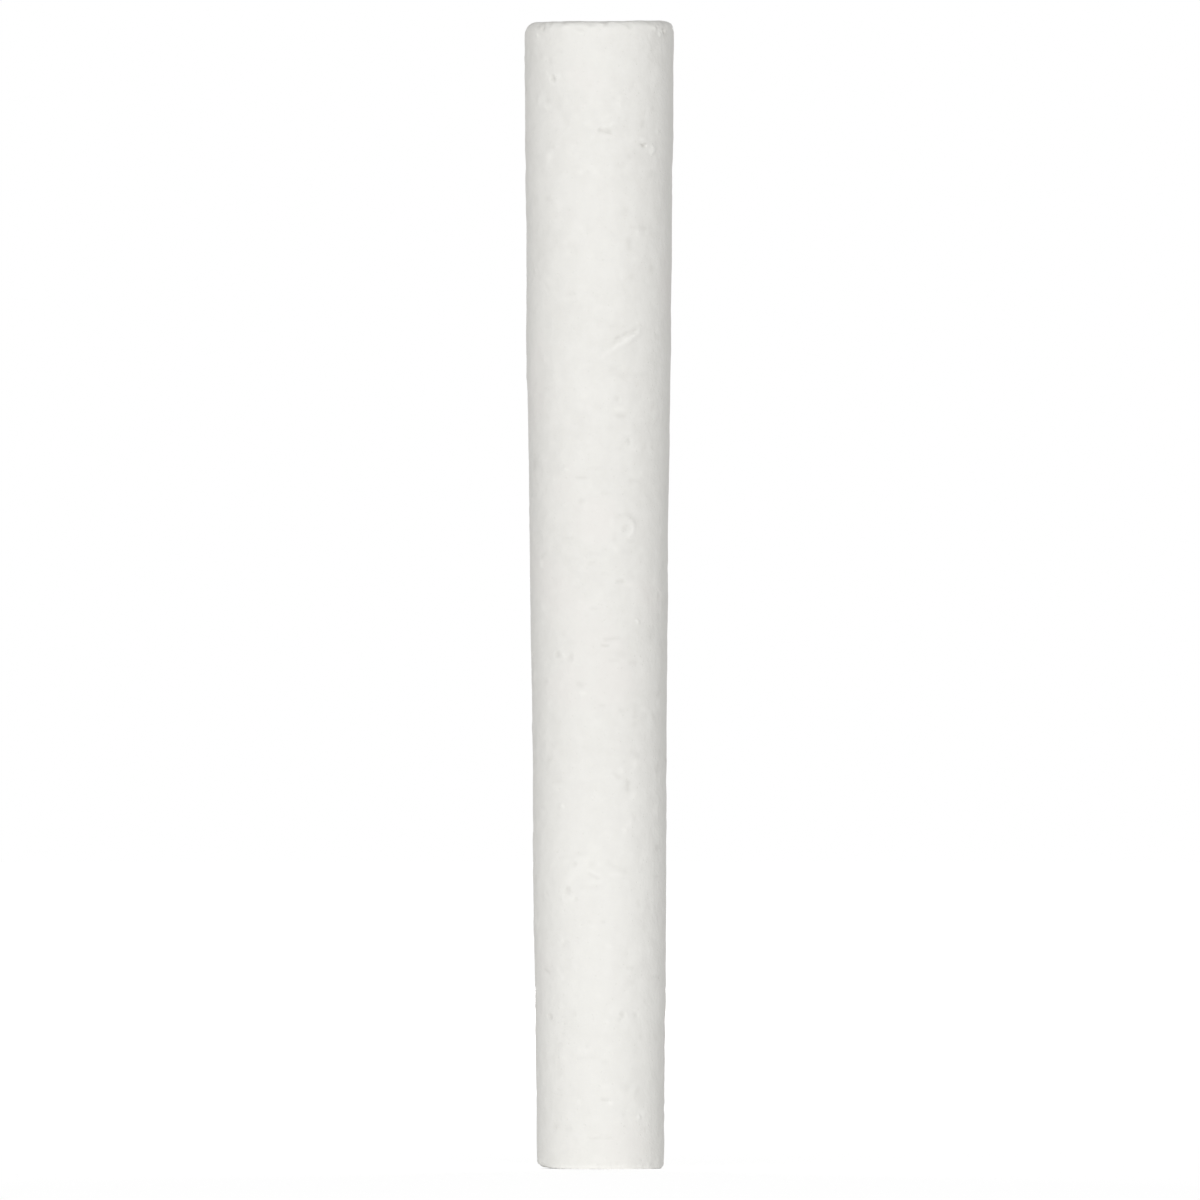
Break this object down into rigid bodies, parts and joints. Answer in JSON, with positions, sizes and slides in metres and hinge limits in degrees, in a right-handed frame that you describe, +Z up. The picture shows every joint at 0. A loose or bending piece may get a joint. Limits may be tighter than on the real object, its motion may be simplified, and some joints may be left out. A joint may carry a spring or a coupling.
{
  "type": "chalk stick",
  "caption": "Solid round stick of white blackboard chalk with a slight taper and softly rounded end edges, standing on its narrow end.",
  "frame": {"origin": "centre of the narrow end's flat, which the stick stands on", "axes": "+Z up along the stick's axis, from the narrow end to the wide end; the stick is round about Z, so +X and +Y are any two directions across it"},
  "size_m": [0.0104, 0.0104, 0.08],
  "materials": {
    "chalk": "matte"
  },
  "bodies": {
    "root": {"stick": "chalk"}
  },
  "joints": []
}
